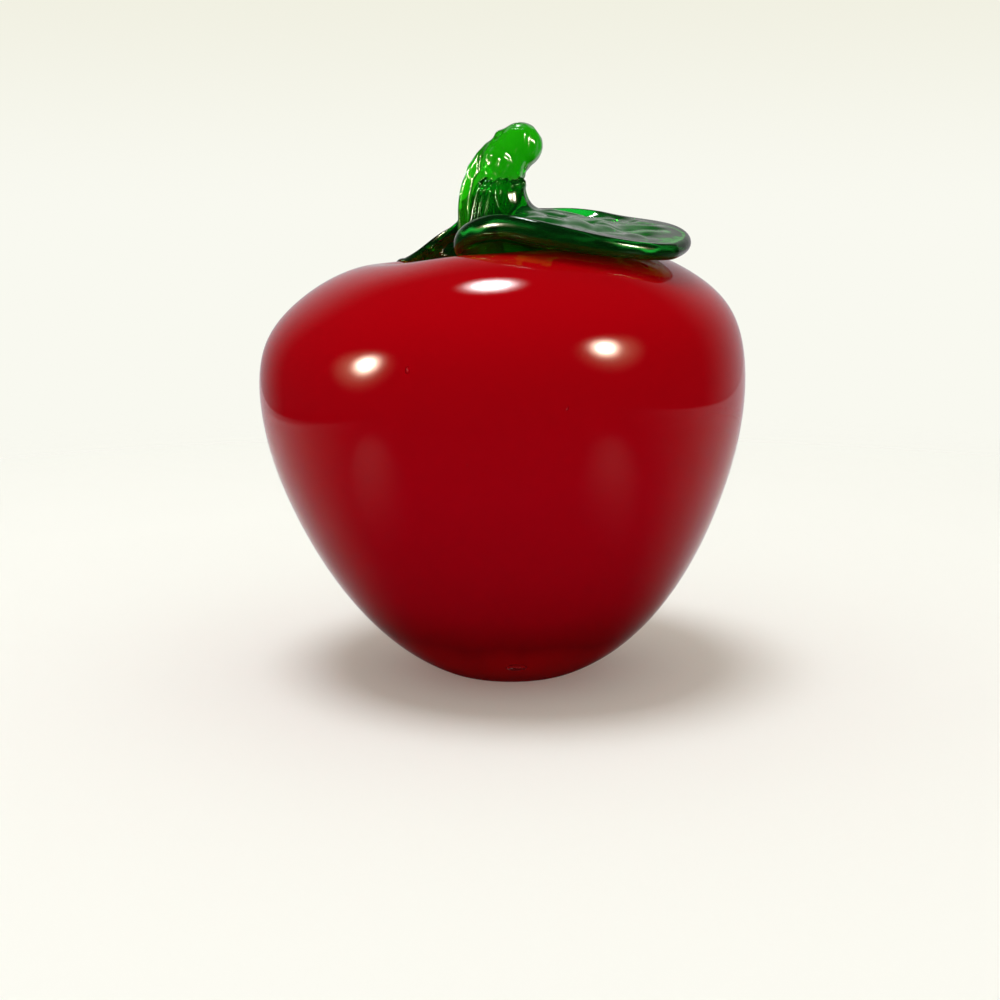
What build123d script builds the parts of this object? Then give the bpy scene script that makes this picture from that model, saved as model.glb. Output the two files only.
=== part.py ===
"""A blown art glass apple: a red bubble cased in clear crystal, with a green stem and two green leaves.

Millimetres. The origin is on the floor where the apple's leaning axis meets it, +Z is up, and -Y faces
the viewer. Each bit of glass is its own solid, and fused bits meet face to face.
"""
import os
from math import copysign, cos, exp, radians, sin

from build123d import *

# Outline of the clear outer face along the leaning axis, from the base to the dimple.
# Each rise is from the point before
POLE_DEPTH = 3.0
HEEL_RADIUS = 21.5
HEEL_HEIGHT = 3.0
BELLY_RADIUS = 36.1
BELLY_RISE = 13.0
FLANK_RADIUS = 49.7
FLANK_RISE = 24.0
WIDEST_RADIUS = 56.0
WIDEST_RISE = 27.0
UPPER_RADIUS = 53.3
UPPER_RISE = 15.0
SHOULDER_RADIUS = 45.3
SHOULDER_RISE = 8.5
CREST_RADIUS = 26.0
CREST_RISE = 5.7
DIMPLE_DEPTH = 5.2
LEAN_ANGLE = 4.0
GROUND_EDGE_ROUND = 1.2

# Walls of the two layers, and the bit that closes the blowpipe's hole
CASING_WALL = 2.6
CASING_BASE_WALL = 9.0
CASING_BASE_FADE = 10.0
BUBBLE_WALL = 3.0
SEAL_RADIUS = 7.0
SEAL_STAND = 1.6

# Stem: a rod that rises from the dimple's flat floor and bends over to the right
STEM_OFFSET = -2.0
STEM_FOOT_RADIUS = 8.4
STEM_FOOT_MARGIN = 0.6
STEM_RADIUS = 6.5
STEM_MIDDLE_RADIUS = 6.5
STEM_TIP_RADIUS = 5.1
STEM_RISE = 10.6
STEM_BEND_RADIUS = 18.8
STEM_BEND_ANGLE = 53.7

# Front leaf: a thick pad that arches up in front of the stem and falls towards its tip on the right.
# Heights of its top are above the crest, and reaches are from the stem's axis
FRONT_DIRECTION = -28.0
FRONT_CENTRE = 22.7
FRONT_HALF_LENGTH = 24.5
FRONT_HALF_WIDTH = 21.5
FRONT_ROOT_HEIGHT = 5.8
FRONT_ARCH_REACH = 12.5
FRONT_ARCH_HEIGHT = 11.0
FRONT_MIDDLE_REACH = 28.0
FRONT_MIDDLE_HEIGHT = 9.0
FRONT_TIP_HEIGHT = 5.6
FRONT_ROLL = 0.05
FRONT_NEAR_LOBE_SQUARENESS = 4.0
FRONT_ROOT_THICKNESS = 5.4
FRONT_TIP_THICKNESS = 5.4
FRONT_TONGUE_HEIGHT = 18.0
FRONT_TONGUE_START = -107.0
FRONT_TONGUE_SWEEP = 147.0

# Rear leaf: a thinner pad that droops over the back of the left shoulder
REAR_DIRECTION = 115.0
REAR_CENTRE = 21.0
REAR_HALF_LENGTH = 17.0
REAR_HALF_WIDTH = 11.0
REAR_ROOT_HEIGHT = 9.0
REAR_ARCH_REACH = 13.0
REAR_ARCH_HEIGHT = 4.4
REAR_MIDDLE_REACH = 25.0
REAR_MIDDLE_HEIGHT = 1.8
REAR_TIP_HEIGHT = -1.6
REAR_ROLL = -0.10
REAR_ROOT_THICKNESS = 4.6
REAR_TIP_THICKNESS = 2.6
REAR_TONGUE_HEIGHT = 14.5
REAR_TONGUE_START = 70.0
REAR_TONGUE_SWEEP = 70.0

# Both leaves
LEAF_SQUARENESS = 2.2
PLAN_POINTS = 16
PAD_MARGIN = 1.0
RIM_SHARE = 0.35
TONGUE_WALL = 2.5
TONGUE_FLARE = 3.5

# Frame of the body: its axis leans towards -X, so that the right shoulder stands higher
lean = radians(LEAN_ANGLE)
body_axis = Axis((0, 0, 0), (-sin(lean), 0, cos(lean)))
body_plane = Plane(origin=(0, 0, 0), x_dir=(cos(lean), 0, sin(lean)), z_dir=(0, -1, 0))
end_tangents = ((1, 0), (-1, 0))
end_speeds = (1, 1)

belly_height = HEEL_HEIGHT + BELLY_RISE
flank_height = belly_height + FLANK_RISE
widest_height = flank_height + WIDEST_RISE
upper_height = widest_height + UPPER_RISE
shoulder_height = upper_height + SHOULDER_RISE
crest_height = shoulder_height + CREST_RISE
dimple_height = crest_height - DIMPLE_DEPTH
dimple_floor_radius = STEM_FOOT_RADIUS + abs(STEM_OFFSET) + STEM_FOOT_MARGIN
outer_points = [
    (0, -POLE_DEPTH),
    (HEEL_RADIUS, HEEL_HEIGHT),
    (BELLY_RADIUS, belly_height),
    (FLANK_RADIUS, flank_height),
    (WIDEST_RADIUS, widest_height),
    (UPPER_RADIUS, upper_height),
    (SHOULDER_RADIUS, shoulder_height),
    (CREST_RADIUS, crest_height),
    (dimple_floor_radius, dimple_height),
]
with BuildLine() as outer_line:
    outer_curve = Spline(*outer_points, tangents=end_tangents, tangent_scalars=end_speeds)


def inset_points(wall, base_wall):
    """The outer outline moved inwards by the wall, which thickens to base_wall at the bottom pole."""
    moved = []
    for radius, height in outer_points:
        along = outer_curve.tangent_at((radius, height, 0))
        fade = exp(-(height + POLE_DEPTH) / CASING_BASE_FADE)
        depth = wall + (base_wall - wall) * fade
        moved.append((radius - along.Y * depth, height + along.X * depth))
    return moved


bubble_points = inset_points(CASING_WALL, CASING_BASE_WALL)
hollow_points = inset_points(CASING_WALL + BUBBLE_WALL, CASING_BASE_WALL + BUBBLE_WALL)


def body_profile(points):
    """Half of a body of revolution: the outline, the dimple's flat floor and the axis."""
    floor_centre = (0, points[-1][1])
    with BuildSketch(body_plane) as profile:
        with BuildLine():
            Spline(*points, tangents=end_tangents, tangent_scalars=end_speeds)
            Line(points[-1], floor_centre)
            Line(floor_centre, points[0])
        make_face()
    return profile.sketch


# Space inside the outer face, ground flat to stand, which the stem and the leaves sit on
with BuildPart() as body_space:
    revolve(body_profile(outer_points), axis=body_axis)
    split(bisect_by=Plane.XY, keep=Keep.TOP)
    fillet(body_space.faces().sort_by(Axis.Z)[0].edges(), GROUND_EDGE_ROUND)

# Space inside the casing
with BuildPart() as bubble_space:
    revolve(body_profile(bubble_points), axis=body_axis)

# Hollow of the blown bubble
with BuildPart() as hollow_space:
    revolve(body_profile(hollow_points), axis=body_axis)

# Bit that closes the blowpipe's hole, from the floor to just inside the hollow
seal_top = hollow_points[0][1] + SEAL_STAND
with BuildPart() as base_seal:
    with BuildSketch(Plane.XY):
        Circle(SEAL_RADIUS)
    extrude(amount=seal_top)
    fillet(base_seal.faces().sort_by(Axis.Z)[-1].edges(), SEAL_STAND / 2)

# Clear crystal gather over the bubble
with BuildPart() as clear_casing:
    add(body_space.part)
    add(bubble_space.part, mode=Mode.SUBTRACT)
    add(base_seal.part, mode=Mode.SUBTRACT)

# Red bubble
with BuildPart() as red_bubble:
    add(bubble_space.part)
    add(hollow_space.part, mode=Mode.SUBTRACT)
    add(base_seal.part, mode=Mode.SUBTRACT)

# Stem: circles along an upright run and an arc that bends to +X, closed by a ball
stem_x = STEM_OFFSET - dimple_height * sin(lean)
stem_start = dimple_height * cos(lean) - dimple_floor_radius * sin(lean)
bend_start = crest_height + STEM_RISE
stem_axis = Axis((stem_x, 0, 0), (0, 0, 1))


def bend_plane(angle):
    """Plane square to the stem's arc, at an angle along the bend."""
    turn = radians(angle)
    centre_x = stem_x + STEM_BEND_RADIUS
    origin = (centre_x - STEM_BEND_RADIUS * cos(turn), 0, bend_start + STEM_BEND_RADIUS * sin(turn))
    return Plane(origin=origin, x_dir=(cos(turn), 0, -sin(turn)), z_dir=(sin(turn), 0, cos(turn)))


foot_plane = Plane(origin=(stem_x, 0, stem_start))
crest_plane = Plane(origin=(stem_x, 0, crest_height))
tip_plane = bend_plane(STEM_BEND_ANGLE)
with BuildPart() as stem:
    with BuildSketch(foot_plane):
        Circle(STEM_FOOT_RADIUS)
    with BuildSketch(crest_plane):
        Circle(STEM_RADIUS)
    with BuildSketch(bend_plane(0)):
        Circle(STEM_RADIUS)
    with BuildSketch(bend_plane(STEM_BEND_ANGLE / 2)):
        Circle(STEM_MIDDLE_RADIUS)
    with BuildSketch(tip_plane):
        Circle(STEM_TIP_RADIUS)
    loft()
    with Locations(tip_plane.origin):
        Sphere(STEM_TIP_RADIUS)
    add(body_space.part, mode=Mode.SUBTRACT)


# Leaves: a pad with an arched side view and an oval plan, and a tongue that climbs the stem
def upright_plane(direction, shift):
    """Upright plane through the stem's axis at the crest's height, moved by a shift."""
    turn = radians(direction)
    return Plane(
        origin=Vector(stem_x, 0, crest_height) + shift,
        x_dir=(cos(turn), sin(turn), 0),
        z_dir=(sin(turn), -cos(turn), 0),
    )


def leaf_side(direction, shift, top_line, root_thickness, tip_thickness):
    """Side view of a pad, along the leaf: an arched top, and below it a line that closes in to the tip."""
    root_reach = top_line[0][0]
    length = top_line[-1][0] - root_reach
    taper = (root_thickness - tip_thickness) / length
    low_line = [
        (reach, height - root_thickness + taper * (reach - root_reach)) for reach, height in top_line
    ]
    with BuildSketch(upright_plane(direction, shift)) as side:
        with BuildLine():
            Spline(*top_line)
            Line(top_line[-1], low_line[-1])
            Spline(*low_line)
            Line(low_line[0], top_line[0])
        make_face()
    return side.sketch


def leaf_plan(direction, centre, half_length, half_width, lobe_squareness):
    """Plan of a pad: a stretched circle, whose root corner on one side may be squarer, as a lobe."""
    turn = radians(direction)
    plan_plane = Plane(origin=(stem_x, 0, 0), x_dir=(cos(turn), sin(turn), 0), z_dir=(0, 0, 1))
    points = []
    for step in range(PLAN_POINTS):
        angle = radians(360 * (step + 0.5) / PLAN_POINTS)
        in_lobe = cos(angle) < 0 and sin(angle) < 0
        power = 2 / (lobe_squareness if in_lobe else LEAF_SQUARENESS)
        along = copysign(abs(cos(angle)) ** power, cos(angle))
        across = copysign(abs(sin(angle)) ** power, sin(angle))
        points.append((centre + half_length * along, half_width * across))
    with BuildSketch(plan_plane) as plan:
        with BuildLine():
            Spline(*points, periodic=True)
        make_face()
    return plan.sketch


def tongue_profile(start, foot_height, height):
    """Section of a tongue beside the stem: upright at the top, flaring out into the leaf below."""
    core = STEM_RADIUS / 2
    lip = STEM_RADIUS + TONGUE_WALL
    flare = lip + TONGUE_FLARE
    with BuildSketch(upright_plane(start, Vector(0, 0, 0))) as profile:
        with BuildLine():
            Polyline((flare, foot_height), (core, foot_height), (core, height), (lip, height))
            Spline((lip, height), (flare, foot_height), tangents=((0, -1), (1, -1)))
        make_face()
    return profile.sketch


def across_leaf(direction, roll, reach):
    """Step of the given reach across a leaf, level apart from the leaf's roll."""
    turn = radians(direction)
    return Vector(-sin(turn), cos(turn), roll) * reach


def lies_flat(face):
    """True for a pad's top and bottom, false for the wall round its outline."""
    return abs(face.normal_at().Z) > 0.5


front_top_line = [
    (FRONT_CENTRE - FRONT_HALF_LENGTH - PAD_MARGIN, FRONT_ROOT_HEIGHT),
    (FRONT_ARCH_REACH, FRONT_ARCH_HEIGHT),
    (FRONT_MIDDLE_REACH, FRONT_MIDDLE_HEIGHT),
    (FRONT_CENTRE + FRONT_HALF_LENGTH + PAD_MARGIN, FRONT_TIP_HEIGHT),
]
front_step = across_leaf(FRONT_DIRECTION, FRONT_ROLL, FRONT_HALF_WIDTH + PAD_MARGIN)
with BuildPart() as front_leaf:
    extrude(
        leaf_side(FRONT_DIRECTION, -front_step, front_top_line, FRONT_ROOT_THICKNESS, FRONT_TIP_THICKNESS),
        amount=2 * front_step.length,
        dir=front_step,
    )
    extrude(
        leaf_plan(FRONT_DIRECTION, FRONT_CENTRE, FRONT_HALF_LENGTH, FRONT_HALF_WIDTH,
                  FRONT_NEAR_LOBE_SQUARENESS),
        amount=2 * crest_height,
        mode=Mode.INTERSECT,
    )
    fillet(front_leaf.faces().filter_by(lies_flat).edges(), RIM_SHARE * FRONT_TIP_THICKNESS)
    revolve(
        tongue_profile(FRONT_TONGUE_START, FRONT_ARCH_HEIGHT - FRONT_ROOT_THICKNESS / 2, FRONT_TONGUE_HEIGHT),
        axis=stem_axis,
        revolution_arc=FRONT_TONGUE_SWEEP,
    )
    add(stem.part, mode=Mode.SUBTRACT)
    add(body_space.part, mode=Mode.SUBTRACT)

rear_top_line = [
    (REAR_CENTRE - REAR_HALF_LENGTH - PAD_MARGIN, REAR_ROOT_HEIGHT),
    (REAR_ARCH_REACH, REAR_ARCH_HEIGHT),
    (REAR_MIDDLE_REACH, REAR_MIDDLE_HEIGHT),
    (REAR_CENTRE + REAR_HALF_LENGTH + PAD_MARGIN, REAR_TIP_HEIGHT),
]
rear_step = across_leaf(REAR_DIRECTION, REAR_ROLL, REAR_HALF_WIDTH + PAD_MARGIN)
with BuildPart() as rear_leaf:
    extrude(
        leaf_side(REAR_DIRECTION, -rear_step, rear_top_line, REAR_ROOT_THICKNESS, REAR_TIP_THICKNESS),
        amount=2 * rear_step.length,
        dir=rear_step,
    )
    extrude(
        leaf_plan(REAR_DIRECTION, REAR_CENTRE, REAR_HALF_LENGTH, REAR_HALF_WIDTH, LEAF_SQUARENESS),
        amount=2 * crest_height,
        mode=Mode.INTERSECT,
    )
    fillet(rear_leaf.faces().filter_by(lies_flat).edges(), RIM_SHARE * REAR_TIP_THICKNESS)
    revolve(
        tongue_profile(REAR_TONGUE_START, REAR_ROOT_HEIGHT - REAR_ROOT_THICKNESS / 2, REAR_TONGUE_HEIGHT),
        axis=stem_axis,
        revolution_arc=REAR_TONGUE_SWEEP,
    )
    add(stem.part, mode=Mode.SUBTRACT)
    add(body_space.part, mode=Mode.SUBTRACT)

pieces = {
    "red_bubble": red_bubble,
    "clear_casing": clear_casing,
    "base_seal": base_seal,
    "stem": stem,
    "front_leaf": front_leaf,
    "rear_leaf": rear_leaf,
}
os.makedirs("parts", exist_ok=True)
for name, piece in pieces.items():
    piece.part.label = name
    export_step(piece.part, f"parts/{name}.step")
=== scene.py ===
"""Looks of a blown art glass apple: red bubble, clear casing, green stem and two pressed green leaves.

The shapes are surfaces worked out in millimetres from the same sizes as the solids, then put into metres.
"""

import math
from types import SimpleNamespace

import bmesh
import bpy
import numpy as np
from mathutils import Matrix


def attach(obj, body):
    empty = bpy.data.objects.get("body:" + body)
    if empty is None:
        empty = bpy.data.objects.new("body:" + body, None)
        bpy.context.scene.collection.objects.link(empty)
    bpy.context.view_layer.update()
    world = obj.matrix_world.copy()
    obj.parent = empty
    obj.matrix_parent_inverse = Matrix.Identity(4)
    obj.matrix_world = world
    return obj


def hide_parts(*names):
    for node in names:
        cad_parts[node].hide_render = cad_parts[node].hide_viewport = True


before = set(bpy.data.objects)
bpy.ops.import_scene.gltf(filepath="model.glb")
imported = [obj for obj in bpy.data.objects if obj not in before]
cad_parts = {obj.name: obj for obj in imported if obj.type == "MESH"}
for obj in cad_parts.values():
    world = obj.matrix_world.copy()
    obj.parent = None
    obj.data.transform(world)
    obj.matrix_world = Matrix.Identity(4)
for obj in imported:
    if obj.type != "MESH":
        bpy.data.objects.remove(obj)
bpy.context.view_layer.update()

MM = 0.001

# Keeps every face a hair inside the solids' box
HAIR_INSIDE = 0.9999

# Outline of the clear outer face along the leaning axis, as radius and height
OUTLINE = [
    (0.0, -3.0),
    (21.5, 3.0),
    (36.1, 16.0),
    (49.7, 40.0),
    (56.0, 67.0),
    (53.3, 82.0),
    (45.3, 90.5),
    (26.0, 96.2),
    (11.0, 91.0),
]
LEAN = math.radians(4.0)
WIDEST_HEIGHT = 67.0
GROUND_EDGE_ROUND = 0.8
TOP_ROUNDS = 3
PROFILE_STEPS = 196
TURN_STEPS = 240

# Rise of the hand-shaped crest, which grows from left to right between two places
CREST_RADIUS = 23.0
CREST_SPREAD = 8.5
CREST_LIFT_LEFT = 1.2
CREST_LIFT = 2.5
CREST_GROWS = (-24.0, -6.0)

# Walls of the two layers
CASING_WALL = 2.6
CASING_BASE_WALL = 9.0
CASING_BASE_FADE = 10.0
BUBBLE_WALL = 3.0
POLE_DEPTH = 3.0
FUSED_LAP = 0.1

# Bit of clear glass that closes the blowpipe's hole, as radius and height
SEAL_OUTLINE = [
    (0.0, 0.15),
    (6.0, 0.15),
    (6.7, 0.4),
    (7.0, 1.2),
    (7.0, 9.6),
    (6.7, 10.3),
    (6.0, 10.6),
    (0.0, 10.6),
]
SEAL_TURN_STEPS = 72

# Air bubbles caught in the casing, as centre and radii: one flat bubble low in the base, and long seeds
BASE_BUBBLE = ((-1.6, -21.9, 7.9), (2.4, 2.0, 1.3))
SEEDS = [
    ((7.9, -53.6, 68.4), 0.36),
    ((-23.6, -50.6, 75.6), 0.5),
    ((-11.8, -52.9, 57.0), 0.22),
    ((-37.5, -38.6, 49.5), 0.25),
    ((31.8, -33.6, 48.9), 0.25),
    ((10.2, -51.5, 79.0), 0.20),
]
SEED_STRETCH = 1.6
OVAL_LATITUDES = 15
OVAL_LONGITUDES = 24

# Stem: a round rod with a thin fin on its left, upright and then bent to the right
STEM_X = -8.35
STEM_FOOT_HEIGHT = 90.2
STEM_FOOT_RADIUS = 8.4
STEM_FOOT_FLARE = 6.0
STEM_RADIUS = 6.5
STEM_TIP_RADIUS = 5.1
STEM_SLIM_FROM = 0.45
STEM_BEND_START = 106.8
STEM_BEND_RADIUS = 18.8
STEM_BEND = math.radians(53.7)
STEM_ROD_OFFSET = 1.1
FIN_HALF = 1.7
FIN_SQUARENESS = 4
FIN_BLEND = 6
FIN_ENDS = (7.7, 12.5)
STEM_STEPS = 190
STEM_TIP_STEPS = 24
STEM_TURN_STEPS = 216

# Marks of the stem's working: twisted ribs, slanting wrinkles, a knob on the left and the shears' dent
RIBS = 9
RIB_TWIST = 0.9
RIB_DEPTH = 0.2
WRINKLE_HEIGHT = 0.12
WRINKLE_PITCH = 3.2
WRINKLE_TURNS = 3
WRINKLE_SWAY = 1.5
WRINKLE_BREAKS = 5
WRINKLE_BREAK_SLANT = 0.6
WRINKLES_BEGIN = (4.0, 7.0)
SMOOTH_TIP = 3.0
KNOB_HEIGHT = 0.5
KNOB_FROM_END = 1.8
KNOB_LENGTH = 1.0
KNOB_WIDTH = 0.4
SHEAR_DENT = 0.7
SHEAR_EDGE = (1.22, 1.50)

# Leaves. Reaches are from the stem's axis along the leaf, and heights from the floor. Each quarter of the
# outline, near or far from the viewer and at the root or the tip, has its own squareness.
front = SimpleNamespace(
    direction=-28.0,
    centre=22.7,
    half_length=24.5,
    half_width=21.5,
    near_root=4.0,
    far_root=1.15,
    near_tip=1.5,
    far_tip=2.7,
    outline_angles=(-166.0, 146.0),
    collar_angles=(-107.0, 40.0),
    arch=[
        (-2.0, 101.5),
        (3.0, 104.5),
        (12.7, 107.2),
        (22.0, 106.0),
        (33.5, 103.6),
        (40.0, 102.0),
        (48.0, 99.6),
    ],
    roll=0.04,
    tip_roll=0.13,
    rim=2.8,
    tip_rim=1.8,
    blade=1.9,
    sag=0.5,
    rests=(22.0, 31.0),
    lip_height=114.3,
    tongue_wall=2.5,
    groove_angle=-72.0,
    groove_drift=16.0,
    cell=13.0,
)
rear = SimpleNamespace(
    direction=118.0,
    centre=21.0,
    half_length=17.0,
    half_width=11.0,
    near_root=2.2,
    far_root=2.2,
    near_tip=2.0,
    far_tip=2.0,
    outline_angles=(-150.0, 150.0),
    collar_angles=(70.0, 140.0),
    arch=[(3.0, 105.6), (8.0, 103.2), (13.0, 100.4), (25.0, 96.9), (39.0, 94.3)],
    roll=-0.10,
    tip_roll=-0.10,
    rim=1.5,
    tip_rim=1.2,
    blade=1.1,
    sag=0.2,
    rests=(18.0, 26.0),
    lip_height=110.5,
    tongue_wall=1.8,
    groove_angle=100.0,
    groove_drift=0.0,
    cell=5.0,
)
ACROSS_STEPS = 280
ALONG_STEPS = 110
ALONG_CROWDING = 1.8
RIM_STEPS = 24
CAP_STEPS = 10
WALL_STEPS = 16
ARCH_STEPS = 200
STEM_LAP = 0.2
CLEARANCE = 0.1
FEATHER = 0.6
LEAST_INSET = 0.5
RIM_SWELLS = (0.72, 1.0)
ROLL_GROWS = (22.0, 46.0)
END_GIRTH = 0.7
END_GIRTH_GROWTH = 0.25

# Tongue, with its angles taken from the groove between its lobes
TONGUE_STEEPNESS = 4.0
TONGUE_EASING = 1.8
TONGUE_EASES = (20.0, 80.0)
RIGHT_LOBE = 0.25
RIGHT_LOBE_ANGLE = 40.0
RIGHT_LOBE_WIDTH = 25.0
FLARE = 0.35
FLARE_GROWS = (45.0, 110.0)
GROOVE_DEPTH = 0.42
GROOVE_WIDTH = 4.5
FLUTES = 36
FLUTE_DEPTH = 0.04
FLUTES_END = (-5.0, 0.0)

# Jagged lip at the tongue's top: its waves as height, count and shift, and the bead under it
LIP_WAVES = [(0.30, 9, 0.0), (0.22, 23, 1.0)]
LIP_BEAD = 0.6
LIP_BEAD_DROP = 1.1
LIP_BEAD_WIDTH = 0.8
LIP_BEAD_JAG = 0.5
LIP_BEAD_FADE = 0.85
LIP_BEAD_FADES = (40.0, 75.0)

# Relief that the press leaves between the tongue and the rim
RELIEF_BEGINS = (6.0, 9.0)
RELIEF_ENDS = (0.80, 0.95)
CELL_HEIGHT = 0.45
CELL_SWAY = 1.3
CELL_SWAY_COUNT = 0.7
CROSS_COUNT = 0.8
CROSS_SWAY = 1.1
CROSS_SWAY_COUNT = 0.5
SIDE_VEIN_DEPTH = 0.14
SIDE_VEIN_SLANT = 0.7
SIDE_VEIN_SHARPNESS = 8
MIDDLE_VEIN_DEPTH = 0.25
MIDDLE_VEIN_WIDTH = 1.0
UNDER_RELIEF = 0.28
UNDER_COUNT = 1.2
UNDER_SLANT = 0.6

# Cloud in the leaves' glass: the press leaves a skin on the top, and streaks of painted glow in the rim stand
# for light that gathers there.
# Streaks have their outline angle and width, then their angle down the rim, its waving and their width.
# The waving is a sum of waves, as height and count.
SKIN_CLOUD = 0.13
SKIN_BEGINS = (3.0, 7.0)
PAINTED_STREAK_GLOW = 0.8
STREAK_WAVES = [(1.0, 9), (0.6, 23)]
ROOT_STREAK = (-112.0, 15.0)
TIP_STREAK = (-30.0, 22.0)
TIP_STREAK_BREAK = 0.35
LOW_STREAK = (1.3, 0.2, 0.15)
HIGH_STREAK = (0.75, -0.2, 0.12)
HIGH_STREAK_SHARE = 0.7

# Reds of the bubble by their share of a height, which swirls of a size move a little. They are painted shade:
# lighter at the top, darker lower down, with a painted band of light just above the base
RED_HEIGHT = 100.0
PAINTED_SHADE_REDS = [(0.065, "#A8050C"), (0.13, "#700006"), (0.22, "#84000C"), (0.5, "#9A000F"), (1.0, "#B00008")]
SWIRL_SHARE = 0.06
SWIRL_SIZE = 35.714

# Patterns on the green glasses, by the size of their grains: small waves on the pressed leaves, and slanting
# ripples on the drawn rod, which are deeper than real ones so that their glints show
LEAF_WAVE_SIZE = 3.846
LEAF_WAVE_HEIGHT = 0.05
RIPPLE_SIZE = 1.6667
RIPPLE_HEIGHT = 1.3
RIPPLE_SLANT = math.radians(-35)
RIPPLE_STRETCH = 0.3
RIPPLE_GLOSS = 0.6

# In metres: points closer than the first are merged, and edges shorter than the second are dissolved
MERGE_WITHIN = 1e-7
DISSOLVE_WITHIN = 1e-8


def smooth(value, low, high):
    """Smooth step: 0 below low, 1 above high, and an S of the third power between."""
    share = np.clip((value - low) / (high - low), 0, 1)
    return share * share * (3 - 2 * share)


def bump(value, centre, width):
    """Bell curve of height 1 about a centre."""
    return np.exp(-(((value - centre) / width) ** 2))


def curve_through(points, start_slope, end_slope, count):
    """Smooth curve through points: a cubic for each chord, with slopes that make the curvature run on.

    The slopes solve, at each inner point, h1*d0 + 2*(h0 + h1)*d1 + h0*d2 = 3*(h1*s0 + h0*s1), where h is a
    chord's length and s its direction. The end slopes are given.
    """
    points = np.array(points, float)
    steps = np.diff(points, axis=0)
    chords = np.linalg.norm(steps, axis=1)
    directions = steps / chords[:, None]
    size = len(points)
    matrix = np.eye(size)
    wanted = np.zeros_like(points)
    wanted[0] = start_slope
    wanted[-1] = end_slope
    inner = np.arange(1, size - 1)
    matrix[inner, inner - 1] = chords[1:]
    matrix[inner, inner] = 2 * (chords[:-1] + chords[1:])
    matrix[inner, inner + 1] = chords[:-1]
    wanted[1:-1] = 3 * (chords[1:, None] * directions[:-1] + chords[:-1, None] * directions[1:])
    slopes = np.linalg.solve(matrix, wanted)
    knots = np.concatenate([[0], np.cumsum(chords)])
    places = np.linspace(0, knots[-1], count)
    span = np.clip(np.searchsorted(knots, places, side="right") - 1, 0, size - 2)
    chord = chords[span][:, None]
    share = (places - knots[span])[:, None] / chord
    rest = 1 - share
    return (
        (1 + 2 * share) * rest**2 * points[span]
        + share * rest**2 * chord * slopes[span]
        + share**2 * (3 - 2 * share) * points[span + 1]
        - share**2 * rest * chord * slopes[span + 1]
    )


def grid_faces(rows, columns, first):
    """Four corners of each cell of a grid whose columns close on themselves, numbered from first."""
    row = np.arange(rows - 1)[:, None]
    column = np.arange(columns)[None, :]
    next_column = (column + 1) % columns
    corners = [
        row * columns + column,
        row * columns + next_column,
        (row + 1) * columns + next_column,
        (row + 1) * columns + column,
    ]
    return first + np.stack(corners, axis=-1).reshape(-1, 4)


def piece(name, grids, material, replaced, cloud_and_glow=None):
    """One mesh from grids of points in millimetres. Each grid closes round its columns, and ends in points.

    A grid given with True is turned inside out, as the wall of a hollow. Doubled points are merged, so that
    seams and poles are closed. Where cloud and glow are given, each point carries how cloudy its glass is,
    and the cloud in the leaves' rims is painted glow.
    """
    points = []
    faces = []
    first = 0
    for grid, is_hollow in grids:
        rows, columns = grid.shape[:2]
        cells = grid_faces(rows, columns, first)
        faces.append(cells[:, ::-1] if is_hollow else cells)
        points.append(grid.reshape(-1, 3))
        first += rows * columns
    places = np.concatenate(points) * MM * HAIR_INSIDE
    mesh = bpy.data.meshes.new(name)
    mesh.from_pydata(places.tolist(), [], np.concatenate(faces).tolist())
    if cloud_and_glow is not None:
        cloud_and_glow_values = mesh.attributes.new("cloud_and_glow", "FLOAT", "POINT")
        cloud_and_glow_values.data.foreach_set("value", cloud_and_glow.ravel())
    work = bmesh.new()
    work.from_mesh(mesh)
    bmesh.ops.remove_doubles(work, verts=work.verts, dist=MERGE_WITHIN)
    bmesh.ops.dissolve_degenerate(work, edges=work.edges, dist=DISSOLVE_WITHIN)
    work.to_mesh(mesh)
    work.free()
    mesh.shade_smooth()
    mesh.materials.append(material)
    made = bpy.data.objects.new(name, mesh)
    bpy.context.scene.collection.objects.link(made)
    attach(made, "root")
    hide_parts(replaced)


# Materials
def linear(hex_colour):
    """Linear colour of an sRGB hex value."""
    parts = np.array([int(hex_colour[i:i + 2], 16) for i in (1, 3, 5)]) / 255
    low = parts / 12.92
    high = ((parts + 0.055) / 1.055) ** 2.4
    return (*np.where(parts <= 0.04045, low, high), 1.0)


def per_metre(size):
    """Scale of a noise whose grains are about a size in millimetres."""
    return 1 / (size * MM)


def node(tree, kind, sockets=(), **settings):
    """Adds a node: settings are its own properties, and each socket gets a value or a link from an output.

    A colour mix has its two colours at sockets 6 and 7, and its result at output 2.
    """
    made = tree.nodes.new(kind)
    for key, value in settings.items():
        setattr(made, key, value)
    for key, value in dict(sockets).items():
        if isinstance(value, bpy.types.NodeSocket):
            tree.links.new(value, made.inputs[key])
        else:
            made.inputs[key].default_value = value
    return made


def new_material(name):
    """An empty node material, and its tree."""
    material = bpy.data.materials.new(name)
    material.use_nodes = True
    material.node_tree.nodes.clear()
    return material, material.node_tree


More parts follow.
